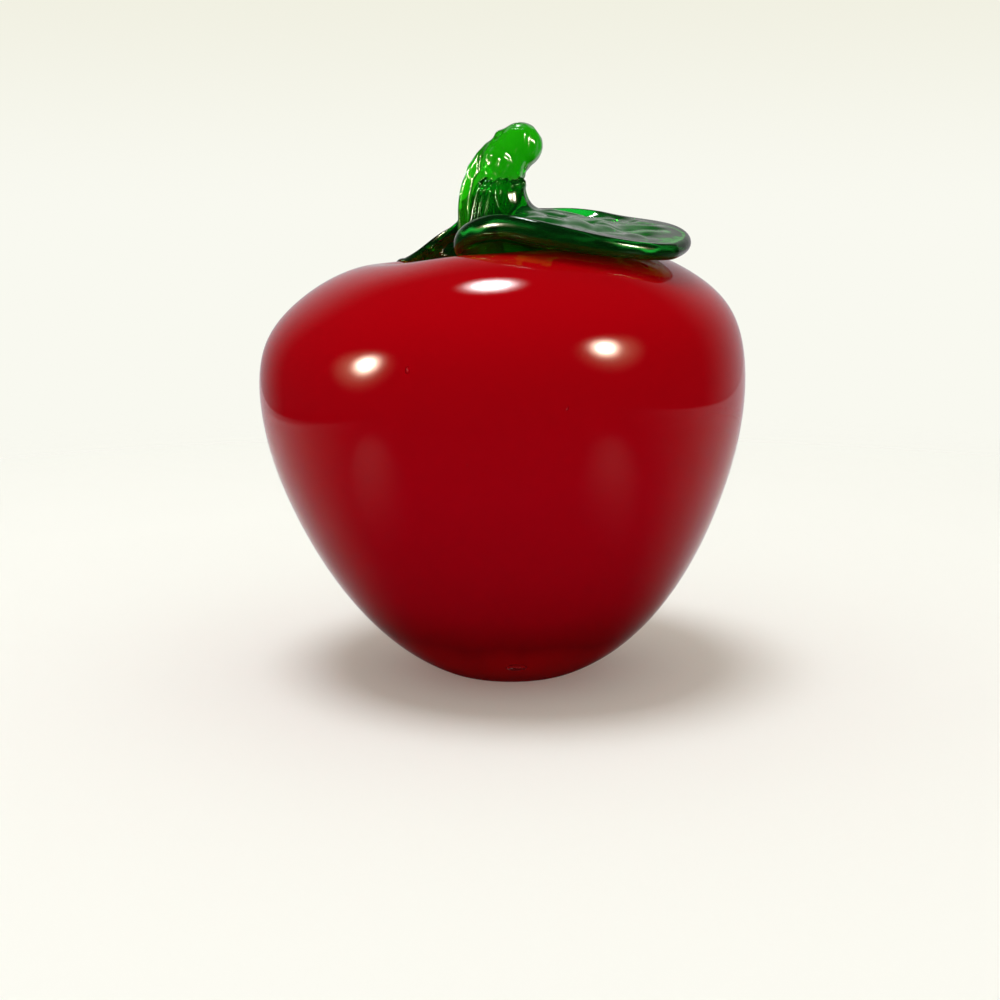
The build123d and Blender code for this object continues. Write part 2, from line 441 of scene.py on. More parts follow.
def glass(name, index, tint="#FFFFFF", clarity=1.0, lamp_tint="#FFFFFF"):
    """Polished glass, and its tree, shader and output. Light of the lamps goes straight through it, tinted.

    A clarity below 1 leaves a little of the tint on the face, as in glass that is not quite clear.
    """
    material, tree = new_material(name)
    body = node(tree, "ShaderNodeBsdfPrincipled", {
        "Base Color": linear(tint), "Roughness": 0.0, "IOR": index, "Transmission Weight": clarity,
    })
    ray = node(tree, "ShaderNodeLightPath").outputs
    passing = node(
        tree, "ShaderNodeMath", {0: ray["Is Shadow Ray"], 1: ray["Is Diffuse Ray"]}, operation="MAXIMUM"
    )
    through = node(tree, "ShaderNodeBsdfTransparent", {"Color": linear(lamp_tint)})
    mixed = node(
        tree, "ShaderNodeMixShader", {0: passing.outputs[0], 1: body.outputs[0], 2: through.outputs[0]}
    )
    output = node(tree, "ShaderNodeOutputMaterial", {"Surface": mixed.outputs[0]})
    return material, tree, body, output


def crystal_glass():
    """Clear crystal, fire polished: a deep wet gloss over the red, and pale edges where it turns away."""
    return glass("clear crystal, fire polished", 1.34)[0]


def opaque_red_glass():
    """Opaque red glass, blown: even colour with faint swirls, and painted shade that darkens it towards the
    bottom, over a painted band of light just above the base.

    The height over the floor, moved a little by the swirls, picks the red, so light from above and shade
    below are painted into it. It has no gloss of its own, because the crystal is fused to it.
    """
    material, tree = new_material("blown opaque red glass")
    place = node(tree, "ShaderNodeTexCoord").outputs["Object"]
    swirl = node(
        tree, "ShaderNodeTexNoise",
        {"Vector": place, "Scale": per_metre(SWIRL_SIZE), "Detail": 2.0, "Distortion": 1.2},
    )
    axis = node(tree, "ShaderNodeSeparateXYZ", {0: place})
    height = node(
        tree, "ShaderNodeMapRange",
        {
            "Value": axis.outputs["Z"], "From Min": 0.0, "From Max": RED_HEIGHT * MM,
            "To Min": -SWIRL_SHARE / 2, "To Max": 1 - SWIRL_SHARE / 2,
        },
    )
    streaked = node(
        tree, "ShaderNodeMath", {0: swirl.outputs["Fac"], 1: SWIRL_SHARE, 2: height.outputs["Result"]},
        operation="MULTIPLY_ADD",
    )
    # The ramp paints shade by height: lighter at the top, darker towards the bottom, and a painted band of
    # light at the base
    colour = node(tree, "ShaderNodeValToRGB", {"Fac": streaked.outputs[0]})
    ramp = colour.color_ramp.elements
    for end, (level, shade) in zip(ramp, (PAINTED_SHADE_REDS[0], PAINTED_SHADE_REDS[-1])):
        end.position = level
        end.color = linear(shade)
    for level, shade in PAINTED_SHADE_REDS[1:-1]:
        ramp.new(level).color = linear(shade)
    body = node(tree, "ShaderNodeBsdfPrincipled", {
        "Base Color": colour.outputs["Color"], "Roughness": 0.6, "Specular IOR Level": 0.0,
    })
    node(tree, "ShaderNodeOutputMaterial", {"Surface": body.outputs[0]})
    return material


def drawn_rod_glass():
    """Green rod glass, drawn: bright where light comes through, with short glints on its slanting ripples.

    Its colour is in its depth, as absorption. The ripples are in the gloss alone.
    """
    material, tree, body, output = glass("green rod glass, drawn", 1.28, "#3CE416", 0.75, "#80D060")
    place = node(tree, "ShaderNodeTexCoord").outputs["Object"]
    slanted = node(
        tree, "ShaderNodeMapping",
        {"Vector": place, "Rotation": (0, RIPPLE_SLANT, 0), "Scale": (1, 1, RIPPLE_STRETCH)},
    )
    ripples = node(
        tree, "ShaderNodeTexNoise",
        {"Vector": slanted.outputs[0], "Scale": per_metre(RIPPLE_SIZE), "Detail": 0.0},
    )
    relief = node(
        tree, "ShaderNodeBump",
        {"Height": ripples.outputs["Fac"], "Strength": 1.0, "Distance": RIPPLE_HEIGHT * MM},
    )
    body.inputs["Coat Weight"].default_value = RIPPLE_GLOSS
    body.inputs["Coat Roughness"].default_value = 0.0
    tree.links.new(relief.outputs["Normal"], body.inputs["Coat Normal"])
    depth = node(tree, "ShaderNodeVolumeAbsorption", {"Color": linear("#ACEE3C"), "Density": 545.0})
    tree.links.new(depth.outputs[0], output.inputs["Volume"])
    return material


def pressed_leaf_glass():
    """Green leaf glass, pressed: nearly black in its depth, with a green skin on top and painted streaks of
    glow in the rim.

    Its colour is in its depth, as absorption. Where a point is cloudy the glass is less clear; in the rim's
    streaks that cloud is painted glow, lit green by the lamps.
    """
    material, tree, body, output = glass("green leaf glass, pressed", 1.4, "#28D048", 0.97, "#50B060")
    place = node(tree, "ShaderNodeTexCoord").outputs["Object"]
    wave = node(
        tree, "ShaderNodeTexNoise", {"Vector": place, "Scale": per_metre(LEAF_WAVE_SIZE), "Detail": 1.0}
    )
    relief = node(
        tree, "ShaderNodeBump",
        {"Height": wave.outputs["Fac"], "Strength": 1.0, "Distance": LEAF_WAVE_HEIGHT * MM},
    )
    tree.links.new(relief.outputs["Normal"], body.inputs["Normal"])
    # Less clear where cloudy: on the top the press's skin, and in the rim streaks of painted glow
    cloud_and_glow = node(tree, "ShaderNodeAttribute", attribute_name="cloud_and_glow")
    clarity = body.inputs["Transmission Weight"].default_value
    clear = node(tree, "ShaderNodeMath", {0: clarity, 1: cloud_and_glow.outputs["Fac"]}, operation="SUBTRACT")
    tree.links.new(clear.outputs[0], body.inputs["Transmission Weight"])
    depth = node(tree, "ShaderNodeVolumeAbsorption", {"Color": linear("#49F6D3"), "Density": 1500.0})
    tree.links.new(depth.outputs[0], output.inputs["Volume"])
    return material


clear_crystal = crystal_glass()
red_glass = opaque_red_glass()
stem_glass = drawn_rod_glass()
leaf_glass = pressed_leaf_glass()


# Body
AXIS = np.array([-math.sin(LEAN), 0, math.cos(LEAN)])
SIDE = np.array([math.cos(LEAN), 0, math.sin(LEAN)])
DEPTH = np.array([0.0, 1.0, 0.0])
UP = np.array([0.0, 0.0, 1.0])
outer_profile = curve_through(OUTLINE, (1, 0), (-1, 0), PROFILE_STEPS)


def moved_in(extra):
    """Outer profile moved in along its normal by the casing's wall, thicker at the base, and an extra."""
    along = np.gradient(outer_profile, axis=0)
    along /= np.linalg.norm(along, axis=1)[:, None]
    fade = np.exp(-(outer_profile[:, 1] + POLE_DEPTH) / CASING_BASE_FADE)
    depth = extra + CASING_WALL + (CASING_BASE_WALL - CASING_WALL) * fade
    moved = outer_profile + np.stack([-along[:, 1], along[:, 0]], axis=1) * depth[:, None]
    moved[0, 0] = 0
    return moved


def crest_shift(side, radius, height):
    """Rise of the hand-shaped crest: a bell about the crest's radius on the upper half, lower on the left."""
    lift = CREST_LIFT_LEFT + (CREST_LIFT - CREST_LIFT_LEFT) * smooth(side, *CREST_GROWS)
    return lift * bump(radius, CREST_RADIUS, CREST_SPREAD) * (height > WIDEST_HEIGHT)


def turned(profile):
    """Profile turned about the leaning axis: radius times a turned direction, plus height times the axis."""
    profile = np.concatenate([profile, [[0, profile[-1, 1]]]])
    turn = np.linspace(0, 2 * math.pi, TURN_STEPS, endpoint=False)
    direction = np.cos(turn)[:, None] * SIDE + np.sin(turn)[:, None] * DEPTH
    radius = profile[:, :1]
    height = profile[:, 1:]
    height = height + crest_shift(radius * np.cos(turn), radius, height)
    return radius[..., None] * direction + height[..., None] * AXIS


def ground_flat(grid):
    """Cuts a grid off at the floor with a small round: heights below it become 0, through a parabola."""
    height = grid[..., 2]
    rounded = (height + GROUND_EDGE_ROUND) ** 2 / (4 * GROUND_EDGE_ROUND)
    flat = np.where(height > GROUND_EDGE_ROUND, height, np.where(height < -GROUND_EDGE_ROUND, 0, rounded))
    return np.concatenate([grid[..., :2], flat[..., None]], axis=-1)


def body_top(x, y):
    """Height of the clear outer face's top over a point: the profile's upper part, looked up by radius.

    The leaning axis shifts with the height that is sought, so a few rounds close in on it.
    """
    upper = outer_profile[outer_profile[:, 1] > WIDEST_HEIGHT][::-1]
    height = np.full_like(x, upper[0, 1])
    for _ in range(TOP_ROUNDS):
        side = (x + height * math.sin(LEAN)) / math.cos(LEAN)
        radius = np.hypot(side, y)
        height = np.interp(radius, upper[:, 0], upper[:, 1])
        height = height + crest_shift(side, radius, height)
    return height * math.cos(LEAN) + side * math.sin(LEAN)


def oval(centre, radii):
    """An air bubble: a ball of longitudes and latitudes, stretched to three radii about a centre."""
    latitude = np.linspace(-math.pi / 2, math.pi / 2, OVAL_LATITUDES)[:, None]
    longitude = np.linspace(0, 2 * math.pi, OVAL_LONGITUDES, endpoint=False)[None, :]
    ball = np.stack(
        [
            np.cos(latitude) * np.cos(longitude),
            np.cos(latitude) * np.sin(longitude),
            np.sin(latitude) + 0 * longitude,
        ],
        axis=-1,
    )
    return np.array(centre) + ball * np.array(radii)


casing_walls = [(ground_flat(turned(outer_profile)), False), (turned(moved_in(FUSED_LAP)), True)]
bubbles = [(oval(*BASE_BUBBLE), True)]
for seed_place, seed_size in SEEDS:
    bubbles.append((oval(seed_place, (seed_size, seed_size, SEED_STRETCH * seed_size)), True))
bubble_walls = [(turned(moved_in(0.0)), False), (turned(moved_in(BUBBLE_WALL)), True)]
piece("casing_crystal", casing_walls + bubbles, clear_crystal, "clear_casing")
piece("bubble_red", bubble_walls, red_glass, "red_bubble")


# Stem
def stem_section(angle):
    """Reach of the stem's section from its axis: a round rod set to the right, with a thin fin on its left.

    The fin is a flat rounded square, and the two are blended by a high power of each.
    """
    rod_radius = STEM_RADIUS - STEM_ROD_OFFSET
    rod = STEM_ROD_OFFSET * np.cos(angle) + np.sqrt(rod_radius**2 - (STEM_ROD_OFFSET * np.sin(angle)) ** 2)
    fin = (np.cos(angle) / STEM_RADIUS) ** FIN_SQUARENESS + (np.sin(angle) / FIN_HALF) ** FIN_SQUARENESS
    fin = np.where(np.cos(angle) < 0, fin ** (-1 / FIN_SQUARENESS), 0)
    return (rod**FIN_BLEND + fin**FIN_BLEND) ** (1 / FIN_BLEND)


def stem_bend(height):
    """How far the stem's axis has moved to the right at a height: the rise of its arc."""
    climb = np.clip((height - STEM_BEND_START) / STEM_BEND_RADIUS, 0, math.sin(STEM_BEND))
    return STEM_BEND_RADIUS * (1 - np.sqrt(1 - climb**2))


def stem_relief(place, length, around):
    """Marks on the rod: slanting wrinkles that break up, less the grooves between ribs that twist round it.

    Wrinkles are a product of two sines, and a rib is the size of a cosine.
    """
    twisted = around + RIB_TWIST * place / length
    rib = np.abs(np.cos(RIBS / 2 * twisted))
    slant = 2 * math.pi * place / WRINKLE_PITCH + WRINKLE_TURNS * twisted + WRINKLE_SWAY * np.sin(2 * twisted)
    wrinkle = np.sin(slant) * np.sin(WRINKLE_BREAKS * twisted - WRINKLE_BREAK_SLANT * place)
    return WRINKLE_HEIGHT * wrinkle - RIB_DEPTH * (1 - rib)


def stem_grid():
    """Rod: its section carried up an upright run and round an arc, closed by a half ball at the tip.

    Above the leaves it carries its marks, and just before the tip a knob on its left. The tip is dented.
    """
    rise = STEM_BEND_START - STEM_FOOT_HEIGHT
    arc = STEM_BEND_RADIUS * STEM_BEND
    length = rise + arc
    along = np.linspace(0, length, STEM_STEPS)
    turn = np.clip(along - rise, 0, None) / STEM_BEND_RADIUS
    centre_x = STEM_X + STEM_BEND_RADIUS * (1 - np.cos(turn))
    centre_z = STEM_FOOT_HEIGHT + np.minimum(along, rise) + STEM_BEND_RADIUS * np.sin(turn)
    slim = smooth(along, rise + STEM_SLIM_FROM * arc, length)
    foot = 1 - smooth(along, 0, STEM_FOOT_FLARE)
    radius = STEM_RADIUS + (STEM_TIP_RADIUS - STEM_RADIUS) * slim + (STEM_FOOT_RADIUS - STEM_RADIUS) * foot
    finned = 1 - smooth(along - rise, *FIN_ENDS)
    marked = smooth(along - rise, *WRINKLES_BEGIN) * (1 - smooth(along, length - SMOOTH_TIP, length))

    # The half ball goes on from the end of the arc
    cap = np.linspace(0, math.pi / 2, STEM_TIP_STEPS)[1:]
    ball = STEM_TIP_RADIUS * np.sin(cap)
    beyond = ball - SHEAR_DENT * smooth(cap, *SHEAR_EDGE)
    centre_x = np.append(centre_x, centre_x[-1] + beyond * math.sin(STEM_BEND))[:, None]
    centre_z = np.append(centre_z, centre_z[-1] + beyond * math.cos(STEM_BEND))[:, None]
    turn = np.append(turn, np.full_like(cap, STEM_BEND))[:, None]
    radius = np.append(radius, STEM_TIP_RADIUS * np.cos(cap))[:, None]
    finned = np.append(finned, 0 * cap)[:, None]
    marked = np.append(marked, 0 * cap)[:, None]
    place = np.append(along, length + ball)[:, None]

    around = np.linspace(0, 2 * math.pi, STEM_TURN_STEPS, endpoint=False)[None, :]
    section = 1 + finned * (stem_section(around) / STEM_RADIUS - 1)
    on_left = np.exp(-2 * (1 + np.cos(around)) / KNOB_WIDTH**2)
    knob = KNOB_HEIGHT * bump(place, length - KNOB_FROM_END, KNOB_LENGTH) * on_left
    reach = radius * section + marked * stem_relief(place, length, around) + knob
    across = reach * np.cos(around)
    grid = np.stack(
        [centre_x + across * np.cos(turn), reach * np.sin(around), centre_z - across * np.sin(turn)], axis=-1
    )
    foot_pole = np.broadcast_to([STEM_X, 0, STEM_FOOT_HEIGHT], grid[:1].shape)
    return np.concatenate([foot_pole, grid])


piece("stem_rod", [(stem_grid(), False)], stem_glass, "stem")


# Leaves
def leaf_outline(leaf):
    """Plan of a leaf's rim line: a stretched circle whose squareness differs in its four quarters."""
    angle = np.radians(np.linspace(*leaf.outline_angles, ACROSS_STEPS))
    is_near = np.sin(angle) < 0
    root = np.where(is_near, leaf.near_root, leaf.far_root)
    tip = np.where(is_near, leaf.near_tip, leaf.far_tip)
    power = 2 / np.where(np.cos(angle) < 0, root, tip)
    along = leaf.centre + leaf.half_length * np.sign(np.cos(angle)) * np.abs(np.cos(angle)) ** power
    across = leaf.half_width * np.sign(np.sin(angle)) * np.abs(np.sin(angle)) ** power
    return along, across


def leaf_top(leaf, along, across):
    """Height of the rim's top over a plan point: the arch along the leaf, plus a roll across it."""
    chords = np.diff(np.array(leaf.arch), axis=0)
    slopes = chords / np.linalg.norm(chords, axis=1)[:, None]
    level = curve_through(leaf.arch, slopes[0], slopes[-1], ARCH_STEPS)
    roll = leaf.roll + (leaf.tip_roll - leaf.roll) * smooth(along, *ROLL_GROWS)
    return np.interp(along, level[:, 0], level[:, 1]) + roll * across


def tongue_share(leaf, out, from_groove):
    """How much of the tongue's height stands over a point: 1 / (1 + (out / wall)^n), which is 1 at the stem.

    The wall is thicker on the right lobe and thin in the groove between the two lobes, which drifts as it
    runs down. It flares to the right, where it also falls more gently, and has flutes left of the groove.
    """
    right_lobe = RIGHT_LOBE * bump(from_groove, RIGHT_LOBE_ANGLE, RIGHT_LOBE_WIDTH)
    flare = FLARE * smooth(from_groove, *FLARE_GROWS)
    wall = leaf.tongue_wall * (1 + right_lobe + flare)
    steepness = TONGUE_STEEPNESS - TONGUE_EASING * smooth(from_groove, *TONGUE_EASES)
    share = 1 / (1 + (out / wall) ** steepness)
    groove = bump(from_groove, leaf.groove_drift * (1 - share), GROOVE_WIDTH)
    flutes = np.cos(FLUTES * np.radians(from_groove + leaf.groove_angle))
    flutes = flutes * (1 - smooth(from_groove, *FLUTES_END))
    wall = wall * (1 - GROOVE_DEPTH * groove + FLUTE_DEPTH * flutes)
    return 1 / (1 + (out / wall) ** steepness)


def pressed_relief(leaf, along, across):
    """Relief of a leaf's top and underside: swirled cells less side veins and a middle vein, and slant waves.

    Cells are a product of two sines, each shifted by a slower sine of the other direction.
    """
    wave = 2 * math.pi / leaf.cell
    cells_along = np.sin(wave * along + CELL_SWAY * np.sin(CELL_SWAY_COUNT * wave * across))
    cross_sway = CROSS_SWAY * np.sin(CROSS_SWAY_COUNT * wave * along)
    cells_across = np.sin(CROSS_COUNT * wave * across + cross_sway)
    side_veins = np.cos(wave * (along - SIDE_VEIN_SLANT * np.abs(across))) ** SIDE_VEIN_SHARPNESS
    middle_vein = bump(across, 0.0, MIDDLE_VEIN_WIDTH)
    veins = SIDE_VEIN_DEPTH * side_veins + MIDDLE_VEIN_DEPTH * middle_vein
    under = UNDER_RELIEF * np.cos(UNDER_COUNT * wave * (along - UNDER_SLANT * np.abs(across)))
    return CELL_HEIGHT * cells_along * cells_across - veins, under


def closed_ends(loop, spine, girth):
    """A grid with both ends closed: each end row closes on its middle line through a quarter circle."""
    sideways = np.gradient(spine, axis=0)
    sideways[..., 2] = 0
    sideways /= np.linalg.norm(sideways, axis=-1, keepdims=True)
    bulge = sideways * girth[..., None]
    reach = loop - spine
    quarter = np.linspace(0, math.pi / 2, CAP_STEPS)[1:, None, None]
    first = spine[:1] + reach[:1] * np.cos(quarter) - bulge[:1] * np.sin(quarter)
    last = spine[-1:] + reach[-1:] * np.cos(quarter) + bulge[-1:] * np.sin(quarter)
    return np.concatenate([first[::-1], loop, last])


def leaf_cloud_and_glow(leaf, skin, arc):
    """Cloud at each point of a leaf's grid: the press's skin on its top, and wavy streaks of painted glow in
    its rim.
    """
    outline_angle = np.linspace(*leaf.outline_angles, ACROSS_STEPS)[:, None]
    waving = sum(height * np.sin(np.radians(count * outline_angle)) for height, count in STREAK_WAVES)
    near_tip = bump(outline_angle, *TIP_STREAK) * (1 - TIP_STREAK_BREAK + TIP_STREAK_BREAK * waving)
    near_root = bump(outline_angle, *ROOT_STREAK)
    low_angle, low_waving, low_width = LOW_STREAK
    high_angle, high_waving, high_width = HIGH_STREAK
    # Painted glow: bright streaks in the rim that stand for light gathering in the bead
    streak = (near_root + near_tip) * bump(arc, low_angle + low_waving * waving, low_width)
    high_streak = bump(arc, high_angle + high_waving * waving, high_width)
    streak = streak + HIGH_STREAK_SHARE * near_tip * high_streak
    cloud_and_glow = np.concatenate([SKIN_CLOUD * skin, PAINTED_STREAK_GLOW * streak], axis=1)
    return np.pad(cloud_and_glow, ((CAP_STEPS - 1, CAP_STEPS - 1), (0, ALONG_STEPS + WALL_STEPS)))


def leaf_grid(leaf):
    """A leaf as a thick sheet from the stem to a beaded rim, with a tongue up the stem, and its cloud and
    painted glow.

    In plan it runs straight from a collar on the stem to the outline. Its top is the arch with the tongue
    added near the stem, its underside the arch less the thickness, and a half circle joins them at the rim.
    Where it would sink into the body it lies on it, as a feathered edge whose top stands over its underside.
    At last it leans with the stem's bend.
    """
    heading = math.radians(leaf.direction)
    ahead = np.array([math.cos(heading), math.sin(heading)])
    beside = np.array([-math.sin(heading), math.cos(heading)])
    stem_place = np.array([STEM_X, 0])
    rim_along, rim_across = leaf_outline(leaf)
    collar = np.radians(np.linspace(*leaf.collar_angles, ACROSS_STEPS))
    stem_face = (stem_section(collar) - STEM_LAP)[:, None]
    start = stem_place + stem_face * np.stack([np.cos(collar), np.sin(collar)], axis=1)
    run = stem_place + rim_along[:, None] * ahead + rim_across[:, None] * beside - start
    reach = np.linalg.norm(run, axis=1)
    outward = run / reach[:, None]
    to_tip = smooth(rim_along, leaf.centre, leaf.centre + leaf.half_length)
    rim = leaf.rim + (leaf.tip_rim - leaf.rim) * to_tip
    inset = np.maximum(reach - rim, LEAST_INSET * reach)
    rim = rim[:, None]
    share = np.linspace(0, 1, ALONG_STEPS)[None, :] ** ALONG_CROWDING
    out = inset[:, None] * share
    plan = start[:, None, :] + outward[:, None, :] * out[..., None]
    along = (plan - stem_place) @ ahead
    across = (plan - stem_place) @ beside

    # Top, with the tongue, its jagged lip and the bead under the lip
    from_groove = (np.degrees(collar) - leaf.groove_angle)[:, None]
    swell = smooth(share, *RIM_SWELLS)
    half = leaf.blade + (rim - leaf.blade) * swell
    middle = leaf_top(leaf, along, across) - rim - leaf.sag * (1 - swell)
    jag = sum(height * np.sin(count * collar + shift) for height, count, shift in LIP_WAVES)[:, None]
    lip = leaf.lip_height + jag
    tongue = (lip - middle - half) * tongue_share(leaf, out, from_groove)
    pressed = smooth(out, *RELIEF_BEGINS) * (1 - smooth(share, *RELIEF_ENDS))
    top_relief, under_relief = pressed_relief(leaf, along, across)
    top_height = middle + half + tongue + pressed * top_relief
    beaded = 1 - LIP_BEAD_FADE * smooth(from_groove, *LIP_BEAD_FADES)
    bead_size = LIP_BEAD * beaded * (1 + LIP_BEAD_JAG * jag) * (out > 0)
    bead = bead_size * bump(top_height, lip - LIP_BEAD_DROP, LIP_BEAD_WIDTH)
    top = np.concatenate([plan + outward[:, None, :] * bead[..., None], top_height[..., None]], axis=-1)

    # Underside, which rests on the body near the stem
    over_body = body_top(plan[..., 0], plan[..., 1]) + CLEARANCE
    from_axis = np.hypot(plan[..., 0] + over_body * math.sin(LEAN), plan[..., 1])
    resting = (1 - smooth(from_axis, *leaf.rests)) * (1 - swell)
    low_height = middle - half - pressed * under_relief
    low_height = low_height + resting * np.minimum(over_body - low_height, 0)
    low = np.concatenate([plan, low_height[..., None]], axis=-1)

    # Rim's half circle
    arc = np.linspace(0, math.pi, RIM_STEPS + 2)[1:-1]
    turn = arc[None, :, None]
    rim_centre = (top[:, -1:] + low[:, -1:]) / 2
    away = np.pad(outward, ((0, 0), (0, 1)))[:, None, :]
    rim_round = rim_centre + half[:, -1, None, None] * (np.cos(turn) * UP + np.sin(turn) * away)

    # Wall on the stem, from the underside up to the lip
    climb = (1 - np.cos(np.linspace(0, math.pi, WALL_STEPS + 2)[1:-1])) / 2
    wall = low[:, :1] + (top - low)[:, :1] * climb[None, :, None]

    # All round, with closed ends, laid on the body
    loop = np.concatenate([top, rim_round, low[:, ::-1], wall], axis=1)
    column = np.concatenate([
        np.arange(ALONG_STEPS),
        np.full(RIM_STEPS, ALONG_STEPS - 1),
        np.arange(ALONG_STEPS)[::-1],
        np.zeros(WALL_STEPS, int),
    ])
    spine = ((top + low) / 2)[:, column]
    girth = np.minimum(END_GIRTH + END_GIRTH_GROWTH * out, rim)
    girth = np.minimum((top - low)[..., 2] / 2, girth)[:, column]
    grid = closed_ends(loop, spine, girth)
    lift = np.concatenate([np.ones(ALONG_STEPS), (1 + np.cos(arc)) / 2, np.zeros(ALONG_STEPS), climb])
    laid = body_top(grid[..., 0], grid[..., 1]) + CLEARANCE + FEATHER * lift
    grid[..., 2] = np.maximum(grid[..., 2], laid)
    grid[..., 0] += stem_bend(grid[..., 2])
    skin = smooth(out, *SKIN_BEGINS) * (1 - swell)
    return grid, leaf_cloud_and_glow(leaf, skin, arc[None, :])


front_grid, front_cloud_and_glow = leaf_grid(front)
rear_grid, rear_cloud_and_glow = leaf_grid(rear)
piece("leaf_front", [(front_grid, False)], leaf_glass, "front_leaf", front_cloud_and_glow)
piece("leaf_rear", [(rear_grid, False)], leaf_glass, "rear_leaf", rear_cloud_and_glow)


# Bit of clear glass under the base
def seal_grid():
    """Short upright plug with rounded ends: its outline turned about Z."""
    turn = np.linspace(0, 2 * math.pi, SEAL_TURN_STEPS, endpoint=False)
    profile = np.array(SEAL_OUTLINE)
    direction = np.stack([np.cos(turn), np.sin(turn), 0 * turn], axis=1)
    return profile[:, 0, None, None] * direction + profile[:, 1, None, None] * UP


piece("base_plug", [(seal_grid(), False)], clear_crystal, "base_seal")


# Stage, in metres: a pale paper floor that fades into the background, soft studio light and the camera
PAPER = "#F9F8F2"
FLOOR_HALF = 1.2
FLOOR_FADES = (0.20, 0.50)
BACKGROUND = "#F9F9F0"
BACKGROUND_TOP = "#F0EFE0"
BACKGROUND_TOP_RISES = (0.0, 0.18)
CEILING = "#40403C"
CEILING_RISES = (0.20, 0.60)
FILL_COLOUR = "#FFFDF3"
FILL_LEVEL = 0.68

# What the gloss shows: paper with two edges, painted shade towards the viewer and two painted pools of lamp
# light, the backdrop, and a dim room
ROOM_COLOUR = "#F6EFF3"
ROOM_LEVEL = 0.03
PAPER_LEFT = (-0.31, -0.28)
PAPER_RIGHT = (0.47, 0.42)
PAPER_TURNS_PALE = (-0.65, 0.95)
PAPER_LEVELS = (0.03, 0.75)
POOL_AZIMUTHS = [-147.0, -46.0]
POOL_DISTANCE = 0.17
POOL_REACH = (0.12, 0.05, 1.0)
PAINTED_POOL_LEVEL = 0.40
MIRROR_HEIGHT = 0.07
LEAST_DROP = 0.001
HORIZON = (0.0, -0.02)
BACKDROP_WAY = (0.15, 1.0, 0.0)
BACKDROP_RISES = (0.10, 1.05)
BACKDROP_TOP = (0.85, 0.45)
BACKDROP_LEVEL = 0.62

# The lamps face the apple's middle, and the camera has the photograph's view
LAMP_TARGET = (-0.005, 0, 0.07)
CAMERA_PLACE = (-0.0053, -0.350, 0.104)
CAMERA_PITCH = math.radians(10.347)
CAMERA_NEAR = 0.01
FOCAL_PIXELS = 1503.0
IMAGE_SIDE = 1000.0
SENSOR = 36.0


def paper_in_gloss(tree, floor_place):
    """How pale the paper is in reflections: it has two edges, and painted shade makes it dim towards the
    viewer's dark room.

    The paleness grows from front to back, the pools are painted pools of lamp light laid on it as ovals, and
    the larger value holds.
    """
    way = node(tree, "ShaderNodeVectorMath", {0: floor_place}, operation="NORMALIZE")
    towards = node(tree, "ShaderNodeSeparateXYZ", {0: way.outputs["Vector"]})
    pale = node(tree, "ShaderNodeMapRange", {
        "Value": towards.outputs["Y"],
        "From Min": PAPER_TURNS_PALE[0], "From Max": PAPER_TURNS_PALE[1],
        "To Min": PAPER_LEVELS[0], "To Max": PAPER_LEVELS[1],
    }, interpolation_type="SMOOTHSTEP").outputs["Result"]
    for azimuth in POOL_AZIMUTHS:
        turn = math.radians(azimuth)
        centre = (POOL_DISTANCE * math.cos(turn), POOL_DISTANCE * math.sin(turn), 0)
        pool = node(
            tree, "ShaderNodeMapping",
            {"Vector": floor_place, "Location": centre, "Rotation": (0, 0, turn), "Scale": POOL_REACH},
            vector_type="TEXTURE",
        )
        away = node(tree, "ShaderNodeVectorMath", {0: pool.outputs[0]}, operation="LENGTH")
        glow = node(
            tree, "ShaderNodeMapRange",
            {"Value": away.outputs["Value"], "From Min": 1.0, "From Max": 0.0, "To Max": PAINTED_POOL_LEVEL},
            interpolation_type="SMOOTHSTEP",
        )
        larger = node(tree, "ShaderNodeMath", {0: pale, 1: glow.outputs["Result"]}, operation="MAXIMUM")
        pale = larger.outputs[0]
    across = node(tree, "ShaderNodeSeparateXYZ", {0: floor_place}).outputs["X"]
    for soft_edge in (PAPER_LEFT, PAPER_RIGHT):
        inside = node(
            tree, "ShaderNodeMapRange", {"Value": across, "From Min": soft_edge[0], "From Max": soft_edge[1]},
            interpolation_type="SMOOTHSTEP",
        )
        cut = node(tree, "ShaderNodeMath", {0: pale, 1: inside.outputs["Result"]}, operation="MULTIPLY")
        pale = cut.outputs[0]
    return pale


